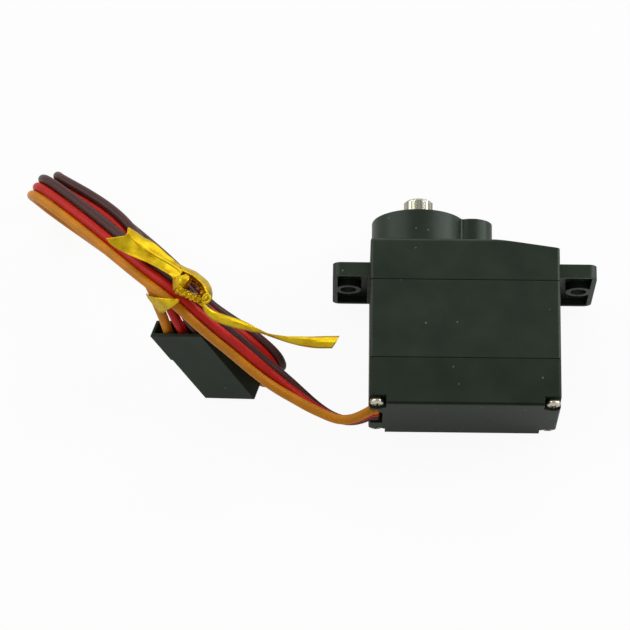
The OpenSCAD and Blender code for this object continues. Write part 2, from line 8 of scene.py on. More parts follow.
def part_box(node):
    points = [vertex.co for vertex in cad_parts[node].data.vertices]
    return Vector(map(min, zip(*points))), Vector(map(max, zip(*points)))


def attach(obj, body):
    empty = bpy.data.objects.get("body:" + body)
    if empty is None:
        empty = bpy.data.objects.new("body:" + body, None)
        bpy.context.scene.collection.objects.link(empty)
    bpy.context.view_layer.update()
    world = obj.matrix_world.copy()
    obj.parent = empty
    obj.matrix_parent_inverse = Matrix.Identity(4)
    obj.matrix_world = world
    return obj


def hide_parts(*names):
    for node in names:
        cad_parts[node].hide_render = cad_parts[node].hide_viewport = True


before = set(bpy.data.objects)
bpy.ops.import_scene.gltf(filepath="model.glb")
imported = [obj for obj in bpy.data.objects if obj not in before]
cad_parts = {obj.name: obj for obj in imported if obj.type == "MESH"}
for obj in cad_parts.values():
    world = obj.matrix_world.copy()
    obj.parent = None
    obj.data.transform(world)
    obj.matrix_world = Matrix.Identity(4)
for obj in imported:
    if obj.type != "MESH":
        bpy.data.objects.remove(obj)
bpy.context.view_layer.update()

# Camera. It looks almost straight down on the motor lying on the table, from a
# little beyond the end that the lead leaves, through a long lens.
MM = 0.001
scene = bpy.context.scene
scene.view_settings.view_transform = "Standard"
camera = bpy.data.objects.new("camera", bpy.data.cameras.new("camera"))
camera.data.lens = 177.19
camera.data.sensor_width = 36
camera.data.clip_start = 10 * MM
camera_place = Vector((-15.38, -123.4, 369.85)) * MM
camera_right = (0.99991, 0.01294, -0.00381)
camera_up = (-0.01105, 0.94757, 0.31937)
camera_back = (0.00775, -0.31929, 0.94762)
camera.matrix_world = (Matrix.Translation(camera_place)
                       @ Matrix((camera_right, camera_up, camera_back)).transposed().to_4x4())
scene.collection.objects.link(camera)
scene.camera = camera


# Lead. Three thin wires with soft PVC covers, bonded side by side, leave the
# slot in the case. The ribbon lies down on the table twice at each end of a
# folded bundle, and its end turns down into the plug.
def linear(colour):
    """An sRGB hex colour such as "#C8281A" as linear red, green, blue and 1."""
    parts = [int(colour[i:i + 2], 16) / 255 for i in (1, 3, 5)]
    return tuple(c / 12.92 if c < 0.04045 else ((c + 0.055) / 1.055) ** 2.4 for c in parts) + (1,)


def finish(name):
    """An empty node material of that name."""
    made = bpy.data.materials.new(name)
    made.use_nodes = True
    made.node_tree.nodes.clear()
    return made


def add(made, kind, put=None, link=None, **settings):
    """Adds one node: its settings, the values put on its sockets, and what feeds them."""
    node = made.node_tree.nodes.new("ShaderNode" + kind)
    for key, value in settings.items():
        setattr(node, key, value)
    for socket, value in (put or {}).items():
        node.inputs[socket].default_value = value
    for socket, source in (link or {}).items():
        made.node_tree.links.new(source, node.inputs[socket])
    return node


def scale_of(size):
    """The texture scale at which a pattern repeats about every size millimetres."""
    return 1 / (size * MM)


wire_d = 1.2
plug_at = Vector((-31.9, -10, 0.45))
plug_turn = [math.radians(a) for a in (-12.3, -31.2, -11.6)]
plug_place = Matrix.Translation(plug_at) @ Euler(plug_turn).to_matrix().to_4x4()
# the middle wire's places in millimetres, and the way from it to the brown wire
ribbon = [
    (-11.3, -13.4, 6.35, 0.00, 0.05, -1.00), (-11.6, -13.6,  6.4, 0.00, 0.05, -1.00),
    (-12.6, -14.1,  6.2, 0.05, 0.13, -0.99), (-14.0, -14.35,  5.8, 0.10, 0.24, -0.97),
    (-15.5, -14.15,  5.7, 0.12, 0.30, -0.95), (-17.1, -13.35,  5.6, 0.11, 0.34, -0.93),
    (-18.9, -12.3,  5.9, 0.10, 0.58, -0.81), (-20.6, -11.2,  6.7, 0.12, 0.77, -0.63),
    (-22.3, -10.2,  7.8, 0.25, 0.93, -0.28), (-24.1,  -9.1,  9.1, 0.45, 0.89,  0.02),
    (-26.0,  -8.1, 11.3, 0.63, 0.75,  0.15), (-27.8, -7.25, 13.9, 0.68, 0.70,  0.23),
    (-30.5,  -6.1, 17.35, 0.68, 0.70,  0.23), (-33.2, -4.25, 19.65, 0.66, 0.71,  0.23),
    (-35.6, -2.25, 20.2, 0.56, 0.79,  0.26), (-38.6,   0.3, 19.0, 0.50, 0.82,  0.27),
    (-43.8,   5.8, 15.4, 0.56, 0.79,  0.26), (-48.3, 10.35, 12.4, 0.56, 0.79,  0.26),
    (-52.0,  13.9,  9.8, 0.56, 0.79,  0.26), (-53.1,  14.9,  8.4, 0.56, 0.79,  0.26),
    (-53.5,  15.5,  6.5, 0.56, 0.79,  0.26), (-53.1,  15.9,  4.4, 0.56, 0.79,  0.26),
    (-52.0,  15.5,  2.5, 0.56, 0.79,  0.26), (-50.4,  14.7,  1.2, 0.56, 0.79,  0.26),
    (-48.6,  13.5,  0.8, 0.56, 0.79,  0.26), (-47.0,  12.2,  1.4, 0.56, 0.79,  0.26),
    (-44.5,  9.35,  4.8, 0.56, 0.79,  0.26), (-41.9,   6.4,  8.5, 0.56, 0.79,  0.26),
    (-38.7,   2.6, 12.5, 0.56, 0.79,  0.26), (-35.5,  -0.2, 14.9, 0.56, 0.79,  0.26),
    (-33.3,  -1.9, 13.2, 0.59, 0.76,  0.25), (-31.9,  -2.9,  9.5, 0.63, 0.74,  0.24),
    (-30.4,  -3.4,  5.8, 0.63, 0.74,  0.24), (-28.6, -4.25,  2.2, 0.63, 0.74,  0.24),
    (-27.2,  -5.1,  1.1, 0.63, 0.74,  0.24), (-25.6,  -6.3,  0.7, 0.63, 0.74,  0.24),
    (-24.1,  -7.2,  1.4, 0.63, 0.74,  0.24), (-23.2,  -7.7,  2.8, 0.63, 0.74,  0.24),
    (-23.1, -7.85,  4.7, 0.63, 0.74,  0.24), (-23.5,  -7.2,  6.5, 0.63, 0.74,  0.24),
    (-25.8, -5.65,  9.3, 0.63, 0.74,  0.24), (-28.5,  -4.3, 11.7, 0.63, 0.74,  0.24),
    (-31.5, -2.95, 13.8, 0.59, 0.76,  0.25), (-34.2,  -1.0, 17.8, 0.56, 0.79,  0.26),
    (-38.2,   3.4, 14.8, 0.56, 0.79,  0.26), (-41.4,   7.5, 10.1, 0.56, 0.79,  0.26),
    (-44.1,  10.9,  6.3, 0.56, 0.79,  0.26), (-46.8,  13.8,  2.8, 0.56, 0.79,  0.26),
    (-48.2,  14.9,  2.4, 0.56, 0.79,  0.26), (-49.8,  15.9,  3.0, 0.56, 0.79,  0.26),
    (-51.0,  16.3,  4.3, 0.56, 0.79,  0.26), (-51.6,  16.2,  6.1, 0.56, 0.79,  0.26),
    (-51.4,  15.4,  7.9, 0.56, 0.79,  0.26), (-50.4,  14.4,  9.1, 0.56, 0.79,  0.26),
    (-46.4,  11.3, 11.7, 0.56, 0.79,  0.26), (-42.6,   7.8, 14.1, 0.56, 0.79,  0.26),
    (-40.4,  4.15, 16.1, 0.70, 0.61,  0.36), (-38.5,   1.6, 17.2, 0.76, 0.56,  0.34),
    (-37.0,  -0.7, 17.9, 0.90, 0.35,  0.36), (-36.1,  -2.9, 17.3, 1.02, 0.22,  0.34),
]
# where the brown wire has rolled under the red one, in radians for each place
rolled = {8: 0.2, 9: 0.6, 10: 0.95, 11: 1.0, 12: 0.9, 13: 0.4, 39: 0.25,
          40: 0.7, 41: 0.95, 42: 0.95, 43: 0.7, 44: 0.4, 45: 0.15}
# the wires in the plug: height above its pin end, depth, spacing, and the middle wire's place
plug_pitch = 2.54
in_plug = [(15.5, 1.2, 1.7, 4.2), (13.2, 1.15, 2.3, 3.85),
           (11.3, 1.15, plug_pitch, 3.7), (9.5, 1.15, plug_pitch, 3.7)]
# each wire's side of the middle one, and the colour of its cover
wire_covers = [("orange", -1, "#DC8A10"), ("red", 0, "#CC1C10"), ("brown", 1, "#4C2A26")]
for colour_name, side, colour in wire_covers:
    places = []
    for i, (x, y, z, *aside) in enumerate(ribbon):
        middle, aside = Vector((x, y, z)), Vector(aside)
        step = side * wire_d * aside
        if side == 1 and i in rolled:
            way = Vector(ribbon[i + 1][:3]) - Vector(ribbon[i - 1][:3])
            out = way.cross(aside).normalized()
            out = out if out.z > 0 else -out
            step = wire_d * (math.cos(rolled[i]) * aside - math.sin(rolled[i]) * out)
        places.append(middle + step)
    places += [plug_place @ Vector((x + side * pitch, y, z)) for z, y, pitch, x in in_plug]
    line = bpy.data.curves.new("wire_" + colour_name, "CURVE")
    line.dimensions = "3D"
    line.bevel_depth = wire_d / 2  # in millimetres: each point scales it to metres
    line.bevel_resolution = 5
    line.resolution_u = 8
    line.use_fill_caps = True
    spline = line.splines.new("NURBS")
    spline.points.add(len(places) - 1)
    for point, place in zip(spline.points, places):
        point.co, point.radius = (*(place * MM), 1), MM
    spline.order_u = 4
    spline.use_endpoint_u = True
    wire = bpy.data.objects.new("wire_" + colour_name, line)
    scene.collection.objects.link(wire)
    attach(wire, "housing")
    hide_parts("lead_ribbon", "lead_hank")

    # PVC insulation, extruded: an even colour with a soft shine, faintly cloudy from
    # its plasticiser and faintly wavy from the die
    pvc = finish("extruded PVC insulation, " + colour_name)
    where = add(pvc, "TexCoord").outputs["Object"]
    cloud = add(pvc, "TexNoise", {"Scale": scale_of(2.5), "Detail": 3}, {"Vector": where})
    ramp = add(pvc, "ValToRGB", {}, {"Fac": cloud.outputs["Fac"]})
    ramp.color_ramp.elements[0].position = 0.35
    ramp.color_ramp.elements[0].color = [c * 0.82 for c in linear(colour)[:3]] + [1]
    ramp.color_ramp.elements[1].position = 0.65
    ramp.color_ramp.elements[1].color = linear(colour)
    ripple = add(pvc, "TexNoise", {"Scale": scale_of(0.9), "Detail": 0}, {"Vector": where})
    relief = add(pvc, "Bump", {"Strength": 0.15, "Distance": 0.03 * MM},
                 {"Height": ripple.outputs["Fac"]})
    cover = add(pvc, "BsdfPrincipled", {"Roughness": 0.38, "IOR": 1.53, "Specular IOR Level": 0.22},
                {"Base Color": ramp.outputs["Color"], "Normal": relief.outputs["Normal"]})
    add(pvc, "OutputMaterial", {}, {"Surface": cover.outputs["BSDF"]})
    line.materials.append(pvc)


# Table and light. A plain white table under two long soft lamps, one on each
# side, and a weaker one behind. Beyond the table all is white.
table_mesh = bpy.data.meshes.new("table")
reach = 3
table_mesh.from_pydata([(-reach, -reach, 0), (reach, -reach, 0), (reach, reach, 0),
                        (-reach, reach, 0)], [], [(0, 1, 2, 3)])
table = bpy.data.objects.new("table", table_mesh)
scene.collection.objects.link(table)
# a sprayed white board: it looks plain white, keeps the soft shadow, and shows a
# little white in whatever shines above it
straight_white, shiny_white = 0.93, 0.12
white = finish("white table")
lacquer = add(white, "BsdfDiffuse", {"Color": linear("#FAFAFA")})
glow = add(white, "Emission", {"Color": (1, 1, 1, 1), "Strength": 1})
seen = add(white, "LightPath")
clear = add(white, "Math", {}, {0: seen.outputs["Is Camera Ray"],
                                1: seen.outputs["Is Transmission Ray"]}, operation="MAXIMUM")
shiny = add(white, "Math", {1: shiny_white}, {0: seen.outputs["Is Glossy Ray"]},
            operation="MULTIPLY")
straight = add(white, "Math", {1: straight_white}, {0: clear.outputs[0]}, operation="MULTIPLY")
share = add(white, "Math", {}, {0: straight.outputs[0], 1: shiny.outputs[0]}, operation="MAXIMUM")
both = add(white, "MixShader", {}, {0: share.outputs[0], 1: lacquer.outputs[0], 2: glow.outputs[0]})
add(white, "OutputMaterial", {}, {"Surface": both.outputs[0]})
table_mesh.materials.append(white)

# the room shines whiter from low down than from above
world = bpy.data.worlds.new("white room")
world.use_nodes = True
world.node_tree.nodes.clear()
room_seen = add(world, "LightPath")
room_straight = add(world, "Math", {}, {0: room_seen.outputs["Is Camera Ray"],
                                        1: room_seen.outputs["Is Transmission Ray"]},
                    operation="MAXIMUM")
room_way = add(world, "TexCoord")
room_split = add(world, "SeparateXYZ", {}, {0: room_way.outputs["Generated"]})
room_height = add(world, "MapRange", {"From Min": 0.1, "From Max": 0.9,
                                      "To Min": 1.0, "To Max": 0.45},
                  {"Value": room_split.outputs["Z"]})
room_glossy = add(world, "Mix", {2: 0.36}, {0: room_seen.outputs["Is Glossy Ray"],
                                            3: room_height.outputs["Result"]})
room_strength = add(world, "Mix", {3: 1.0}, {0: room_straight.outputs[0],
                                             2: room_glossy.outputs[0]})
backdrop = add(world, "Background", {"Color": (1, 1, 1, 1)}, {"Strength": room_strength.outputs[0]})
add(world, "OutputWorld", {}, {"Surface": backdrop.outputs[0]})
scene.world = world

# each lamp's place and size in metres, and its power in watts
lamps = [("lamp_left", (-0.4, 0.14, 0.3), (0.3, 0.5), 0.85),
         ("lamp_right", (0.42, 0.14, 0.25), (0.14, 0.5), 1.1),
         ("lamp_behind", (0.05, 0.5, 0.32), (0.5, 0.3), 0.8)]
for lamp_name, place, (wide, long), power in lamps:
    lamp = bpy.data.objects.new(lamp_name, bpy.data.lights.new(lamp_name, "AREA"))
    lamp.data.shape = "RECTANGLE"
    lamp.data.size, lamp.data.size_y = wide, long
    lamp.data.energy = power
    lamp.location = place
    lamp.rotation_euler = Vector(place).to_track_quat("Z", "Y").to_euler()
    scene.collection.objects.link(lamp)


# Case. Three mouldings in glass-filled nylon, spark-eroded matt in the mould
# and held together by the four long screws.
# black nylon with glass in it is a green black, faintly cloudy and half matt
nylon = finish("glass-filled nylon, matt moulded")
where = add(nylon, "TexCoord").outputs["Object"]
patch = add(nylon, "TexNoise", {"Scale": scale_of(4), "Detail": 4}, {"Vector": where})
shade = add(nylon, "ValToRGB", {}, {"Fac": patch.outputs["Fac"]})
shade.color_ramp.elements[0].position = 0.3
shade.color_ramp.elements[0].color = linear("#212920")
shade.color_ramp.elements[1].position = 0.7
shade.color_ramp.elements[1].color = linear("#293227")
# dust and tiny fibres lie on it as sparse pale specks, about 0.1 mm across
dust = add(nylon, "TexVoronoi", {"Scale": scale_of(1.5), "Randomness": 1}, {"Vector": where})
rare = add(nylon, "TexNoise", {"Scale": scale_of(3.1), "Detail": 0}, {"Vector": where})
speck = add(nylon, "MapRange", {"From Min": 0.05, "From Max": 0.09, "To Min": 1, "To Max": 0},
            {"Value": dust.outputs["Distance"]})
some = add(nylon, "MapRange", {"From Min": 0.5, "From Max": 0.54, "To Min": 0, "To Max": 0.6},
           {"Value": rare.outputs["Fac"]})
dusty = add(nylon, "Math", {}, {0: speck.outputs[0], 1: some.outputs[0]}, operation="MULTIPLY")
dusted = add(nylon, "Mix", {7: linear("#8C9088")},
             {0: dusty.outputs[0], 6: shade.outputs["Color"]}, data_type="RGBA")
# the eroded grain is about 0.03 mm and is drawn at 0.14 mm to show
grain = add(nylon, "TexNoise", {"Scale": scale_of(0.14), "Detail": 3}, {"Vector": where})
rough = add(nylon, "MapRange", {"To Min": 0.3, "To Max": 0.42}, {"Value": patch.outputs["Fac"]})
rounded = add(nylon, "Bevel", {"Radius": 0.1 * MM}, samples=4)
relief = add(nylon, "Bump", {"Strength": 0.35, "Distance": 0.012 * MM},
             {"Height": grain.outputs["Fac"], "Normal": rounded.outputs["Normal"]})
body = add(nylon, "BsdfPrincipled", {"IOR": 1.5, "Specular IOR Level": 0.26,
                                   "Specular Tint": (0.87, 1, 0.91, 1)},
           {"Base Color": dusted.outputs[2], "Roughness": rough.outputs[0],
            "Normal": relief.outputs["Normal"]})
add(nylon, "OutputMaterial", {}, {"Surface": body.outputs["BSDF"]})


def dress(made, *names):
    """Gives those solids that finish."""
    for name in names:
        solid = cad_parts[name].data
        solid.materials.clear()
        solid.materials.append(made)


dress(nylon, "top_case", "middle_case")
# the cover and the plug have a coarser grain, which scatters the light and dulls them
coarse = nylon.copy()
coarse.name = "glass-filled nylon, coarse moulded"
coarse.node_tree.nodes[body.name].inputs["Specular IOR Level"].default_value = 0.08
# their base colours are also set a little lighter than the case's: painted light, standing in for
# the shine the duller surface no longer reflects
coarse_lightened_ramp = coarse.node_tree.nodes[shade.name].color_ramp
for element, colour in zip(coarse_lightened_ramp.elements, ("#262F25", "#2E372C")):
    element.color = linear(colour)
dress(coarse, "bottom_cover", "plug_housing")
# the mould cutter left a small round in the valley between the two bosses
boss_x, boss_r, side_boss_x, side_boss_r, boss_z = -5.6, 5.8, 1.0, 2.6, 6.2
boss_low, boss_high, valley_r = 7.1, 11.09, 0.45
valley_steps, valley_sink = 12, 0.9
reach_a, reach_b = boss_r + valley_r, side_boss_r + valley_r
apart = side_boss_x - boss_x
valley_x = (reach_a ** 2 - reach_b ** 2 + apart ** 2) / (2 * apart)
valley_h = math.sqrt(reach_a ** 2 - valley_x ** 2)
start = math.atan2(-valley_h, -valley_x)
end = math.atan2(-valley_h, apart - valley_x)
for name, up in (("front", 1), ("rear", -1)):
    line = [(valley_x + valley_r * math.cos(start + (end - start) * i / valley_steps),
             valley_h + valley_r * math.sin(start + (end - start) * i / valley_steps))
            for i in range(valley_steps + 1)]
    line.append((valley_x, valley_h - valley_r - valley_sink))
    round_shape = bmesh.new()
    rings = [[round_shape.verts.new(Vector((boss_x + x, y, boss_z + up * z)) * MM) for x, z in line]
             for y in (boss_low, boss_high)]
    for i in range(len(line)):
        j = (i + 1) % len(line)
        round_shape.faces.new((rings[0][i], rings[0][j], rings[1][j], rings[1][i]))
    for ring in rings:
        round_shape.faces.new(ring)
    bmesh.ops.recalc_face_normals(round_shape, faces=round_shape.faces)
    round_mesh = bpy.data.meshes.new("boss_valley_" + name)
    round_shape.to_mesh(round_mesh)
    round_shape.free()
    round_mesh.materials.append(nylon)
    round_mesh.shade_smooth()
    round_mesh.set_sharp_from_angle(angle=math.radians(35))
    valley = bpy.data.objects.new("boss_valley_" + name, round_mesh)
    scene.collection.objects.link(valley)
    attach(valley, "housing")


# Case screws. Four long pan-head screws in nickel-plated steel with a cross
# recess run up through the corners of the bottom cover and hold the case.
# polishing in a barrel leaves a warm, uneven shine with tiny dents
screw_steel = finish("nickel-plated steel, barrel polished")
where = add(screw_steel, "TexCoord").outputs["Object"]
tumbled = add(screw_steel, "TexNoise", {"Scale": scale_of(0.25), "Detail": 4}, {"Vector": where})
warmth = add(screw_steel, "ValToRGB", {}, {"Fac": tumbled.outputs["Fac"]})
warmth.color_ramp.elements[0].color = linear("#B9AF98")
warmth.color_ramp.elements[1].color = linear("#E4DECB")
worn = add(screw_steel, "MapRange", {"To Min": 0.18, "To Max": 0.42},
           {"Value": tumbled.outputs["Fac"]})
dents = add(screw_steel, "Bump", {"Strength": 0.5, "Distance": 0.01 * MM},
            {"Height": tumbled.outputs["Fac"]})
plated = add(screw_steel, "BsdfPrincipled", {"Metallic": 1},
             {"Base Color": warmth.outputs["Color"], "Roughness": worn.outputs[0],
              "Normal": dents.outputs["Normal"]})
add(screw_steel, "OutputMaterial", {}, {"Surface": plated.outputs["BSDF"]})


def turned(name, profile, sides=48):
    """A closed mesh turned about Z from a profile of radius and height pairs, in millimetres."""
    shape = bmesh.new()
    rings = []
    for radius, height in profile:
        if radius == 0:
            rings.append([shape.verts.new((0, 0, height * MM))])
        else:
            rings.append([shape.verts.new((radius * MM * math.cos(2 * math.pi * i / sides),
                                           radius * MM * math.sin(2 * math.pi * i / sides),
                                           height * MM)) for i in range(sides)])
    for low, high in zip(rings, rings[1:]):
        for i in range(sides):
            corners = [low[i % len(low)], low[(i + 1) % len(low)],
                       high[(i + 1) % len(high)], high[i % len(high)]]
            shape.faces.new(list(dict.fromkeys(corners)))
    bmesh.ops.recalc_face_normals(shape, faces=shape.faces)
    made = bpy.data.meshes.new(name)
    shape.to_mesh(made)
    shape.free()
    return made


# the cross recess is coloured near black: painted shade, standing in for the shade inside it
screw_recess_shade = finish("painted shade in the screw recess")
where = add(screw_recess_shade, "TexCoord").outputs["Object"]
recess_mottle = add(screw_recess_shade, "TexNoise", {"Scale": scale_of(0.2), "Detail": 3}, {"Vector": where})
tone = add(screw_recess_shade, "ValToRGB", {}, {"Fac": recess_mottle.outputs["Fac"]})
tone.color_ramp.elements[0].color = linear("#14120F")
tone.color_ramp.elements[1].color = linear("#2E2922")
recess_shade_bsdf = add(screw_recess_shade, "BsdfPrincipled", {"Roughness": 0.7}, {"Base Color": tone.outputs["Color"]})
add(screw_recess_shade, "OutputMaterial", {}, {"Surface": recess_shade_bsdf.outputs["BSDF"]})

screw_head_r, screw_head_h, screw_shank_r = 0.9, 0.6, 0.5
thread_pitch, thread_depth, screw_tip = 0.4, 0.08, 0.3
screw_low, screw_high = (c.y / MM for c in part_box("case_screws"))
screw_length = screw_high - screw_low
thread = []
for i in range(int((screw_length - 3) / thread_pitch)):
    root = screw_length - 1 - thread_pitch * i
    thread += [(screw_shank_r - thread_depth, root), (screw_shank_r, root - thread_pitch / 2)]
screw_shape = turned("case_screw", [
    (0, 0), (0.35, 0.005), (0.6, 0.03), (0.78, 0.1), (0.87, 0.2), (screw_head_r, 0.34),
    (screw_head_r, 0.5), (screw_head_r - 0.05, screw_head_h), (screw_shank_r, screw_head_h)]
    + thread[::-1] + [(screw_shank_r - 0.15, screw_length - screw_tip), (0, screw_length)])
# the cross narrows as it goes in: length and width of each arm at the top and at the bottom
cross_top, cross_bottom, cross_from, cross_to = (1.16, 0.25), (0.62, 0.17), -0.1, 0.42
recess = bmesh.new()
for turn in (0, math.pi / 2):
    tool = bmesh.ops.create_cube(recess, size=1)["verts"]
    for corner in tool:
        deep = corner.co.z > 0
        long, wide = cross_bottom if deep else cross_top
        corner.co = Vector((corner.co.x * long, corner.co.y * wide,
                            cross_to if deep else cross_from)) * MM
    bmesh.ops.rotate(recess, verts=tool, matrix=Matrix.Rotation(turn, 3, "Z"))
recess_mesh = bpy.data.meshes.new("recess")
recess.to_mesh(recess_mesh)
recess.free()
recess_tool = bpy.data.objects.new("recess", recess_mesh)
blank = bpy.data.objects.new("blank", screw_shape)
scene.collection.objects.link(recess_tool)
scene.collection.objects.link(blank)
cut = blank.modifiers.new("cut", "BOOLEAN")
cut.object, cut.operation, cut.solver, cut.use_self = recess_tool, "DIFFERENCE", "EXACT", True
bpy.context.view_layer.update()
cut_blank = blank.evaluated_get(bpy.context.evaluated_depsgraph_get())
screw_mesh = bpy.data.meshes.new_from_object(cut_blank)
bpy.data.objects.remove(blank)
bpy.data.objects.remove(recess_tool)
screw_mesh.materials.clear()
screw_mesh.materials.append(screw_steel)
screw_mesh.materials.append(screw_recess_shade)
# faces inside the cross recess take that painted shade
for face in screw_mesh.polygons:
    x, y, z = face.center / MM
    if math.hypot(x, y) < cross_top[0] / 2 + 0.02 and 0.06 < z < 0.5:
        face.material_index = 1
screw_mesh.shade_smooth()
screw_mesh.set_sharp_from_angle(angle=math.radians(35))
screw_x, screw_low_z, screw_high_z = 10.65, 1.3, 11.1
for name, x, z, turn in (("left_low", -screw_x, screw_low_z, 20),
                         ("left_high", -screw_x, screw_high_z, 8),
                         ("right_low", screw_x, screw_low_z, 55),
                         ("right_high", screw_x, screw_high_z, 40)):
    screw = bpy.data.objects.new("case_screw_" + name, screw_mesh)
    screw.matrix_world = (Matrix.Translation(Vector((x, screw_low, z)) * MM)
                          @ Matrix.Rotation(math.radians(-90), 4, "X")
                          @ Matrix.Rotation(math.radians(turn), 4, "Z"))
    scene.collection.objects.link(screw)
    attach(screw, "housing")
    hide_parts("case_screws")


# Gear train. Steel output gear with its splined shaft, a steel and two brass
# double gears and a brass pinion, all hobbed, on ground steel pins.
def stock(name, colour, low, high, size, squeeze=(1, 1, 1), depth=0.004, metallic=1):
    """A finish of that colour, its roughness from low to high, with marks of size millimetres
    and that depth, squeezed along the axes to lie as the tool left them."""
    made = finish(name)
    where = add(made, "TexCoord").outputs["Object"]
    laid = add(made, "Mapping", {"Scale": squeeze}, {"Vector": where})
    marks = add(made, "TexNoise", {"Scale": scale_of(size), "Detail": 4},
                {"Vector": laid.outputs[0]})
    tone = add(made, "ValToRGB", {}, {"Fac": marks.outputs["Fac"]})
    tone.color_ramp.elements[0].position = 0.3
    tone.color_ramp.elements[0].color = [c * 0.8 for c in linear(colour)[:3]] + [1]
    tone.color_ramp.elements[1].position = 0.7
    tone.color_ramp.elements[1].color = linear(colour)
    rough = add(made, "MapRange", {"To Min": low, "To Max": high}, {"Value": marks.outputs["Fac"]})
    relief = add(made, "Bump", {"Strength": 0.6, "Distance": depth * MM},
                 {"Height": marks.outputs["Fac"]})
    skin = add(made, "BsdfPrincipled", {"Metallic": metallic},
               {"Base Color": tone.outputs["Color"], "Roughness": rough.outputs[0],
                "Normal": relief.outputs["Normal"]})
    add(made, "OutputMaterial", {}, {"Surface": skin.outputs["BSDF"]})
    return made


# hobbing leaves fine marks across the teeth, so the steel glints along them
dress(stock("hardened steel, hobbed bright", "#C2C2B2", 0.16, 0.34, 0.3, (1, 0.15, 1)),
      "output_gear", "gear_third")
# the brass is the same work in a softer, yellower metal
dress(stock("brass, hobbed", "#D8B262", 0.2, 0.36, 0.3, (1, 0.15, 1)),
      "gear_second", "gear_first", "motor_pinion")
# pressed from powder, the bushes are dull and finely pitted
dress(stock("sintered bronze", "#9C7447", 0.5, 0.75, 0.12, depth=0.02), "output_bush", "motor_bush")
# ground pins are the smoothest metal here, ringed by the wheel
dress(stock("steel pin, ground", "#CFCFCC", 0.08, 0.16, 0.1, (0.1, 1, 0.1)),
      "idler_pin", "motor_shaft")


# Motor. An iron-cored brushed motor in a drawn steel can: two ferrite magnets,
# three wound poles, a copper commutator and a nylon cap with two brushes.
# drawing leaves long marks down the can under a thin nickel plate
dress(stock("drawn steel, nickel plated", "#C4C1B8", 0.22, 0.42, 0.8, (1, 0.12, 1)), "motor_can")
# ferrite is fired and ground: nearly black with a dull grain
dress(stock("sintered ferrite", "#3A3A3E", 0.55, 0.75, 0.2, depth=0.01, metallic=0),
      "motor_magnets")
# natural nylon is cream and slightly waxy
dress(stock("natural nylon, moulded", "#D9D5C4", 0.4, 0.55, 1.2, metallic=0),
      "motor_end_cap", "pot_wiper")
# punched sheets stacked along the shaft show as thin lines round the core
dress(stock("electrical steel, stacked", "#7A7A78", 0.35, 0.55, 0.35, (0.05, 1, 0.05), depth=0.03),
      "armature_core")
# fine enamelled wire is wound round each pole, so the copper is ribbed
dress(stock("copper wire, enamelled", "#A8552A", 0.25, 0.4, 0.18, (0.2, 1, 0.2), depth=0.03),
      "armature_windings")
# the commutator is turned, which leaves fine rings round it
dress(stock("copper, turned", "#C27C52", 0.2, 0.34, 0.15, (0.1, 1, 0.1)), "commutator")
# spring strip is rolled, with a thin gold-coloured plate
dress(stock("contact strip, rolled and plated", "#D9BC78", 0.2, 0.34, 0.5, (1, 0.1, 1)),
      "motor_brushes", "plug_contacts")
# hot tin flows and freezes in soft waves
dress(stock("tinned copper", "#D3D3CE", 0.22, 0.4, 0.6, depth=0.02), "motor_tabs", "pot_pins")


# Position sensor. A small potentiometer under the output shaft: a moulded case
# with a printed carbon track that the nylon wiper turns on.
# thermoset comes smooth and a little dull from its mould
dress(stock("moulded thermoset, blue", "#2D3E63", 0.35, 0.5, 1.0, metallic=0), "pot_case")
# screen-printed carbon is black and slightly grainy
dress(stock("printed carbon", "#202021", 0.4, 0.6, 0.15, depth=0.006, metallic=0), "pot_track")


# Control board. Glass-fibre laminate with a green solder mask, a moulded
# control chip, a motor driver and chip capacitors soldered on.
# the weave of the glass cloth, about 0.5 mm, shows faintly through the mask
dress(stock("glass-fibre laminate, green mask", "#1F5A34", 0.2, 0.34, 0.5, depth=0.006, metallic=0),
      "circuit_board")
# the chips' epoxy is a dull black with a fine grain
dress(stock("moulded epoxy", "#232324", 0.5, 0.65, 0.2, depth=0.006, metallic=0),
      "control_chip", "bridge_chip")
# fired ceramic is tan and smooth
dress(stock("fired ceramic, tin ends", "#A98A5C", 0.3, 0.45, 0.4, metallic=0), "board_capacitors")

# the three short wires on the board carry the lead's colours, one above another,
# from brown at their lowest to orange at their highest, with the same soft shine
inner_low, inner_high = 4.4, 8
stripes = finish("extruded PVC insulation, three colours")
where = add(stripes, "TexCoord").outputs["Object"]
split = add(stripes, "SeparateXYZ", {}, {0: where})
level = add(stripes, "MapRange", {"From Min": inner_low * MM, "From Max": inner_high * MM},
            {"Value": split.outputs["Z"]})
order = add(stripes, "ValToRGB", {}, {"Fac": level.outputs[0]})
order.color_ramp.interpolation = "CONSTANT"
order.color_ramp.elements[0].color = linear("#4C2A26")
order.color_ramp.elements[1].position = 2 / 3
order.color_ramp.elements[1].color = linear("#DC8A10")
order.color_ramp.elements.new(1 / 3).color = linear("#CC1C10")
cloud = add(stripes, "TexNoise", {"Scale": scale_of(0.5)}, {"Vector": where})
relief = add(stripes, "Bump", {"Strength": 0.25, "Distance": 0.03 * MM},
             {"Height": cloud.outputs["Fac"]})
cover = add(stripes, "BsdfPrincipled", {"Roughness": 0.38, "IOR": 1.53, "Specular IOR Level": 0.22},
            {"Base Color": order.outputs["Color"], "Normal": relief.outputs["Normal"]})
add(stripes, "OutputMaterial", {}, {"Surface": cover.outputs["BSDF"]})
dress(stripes, "inner_leads")


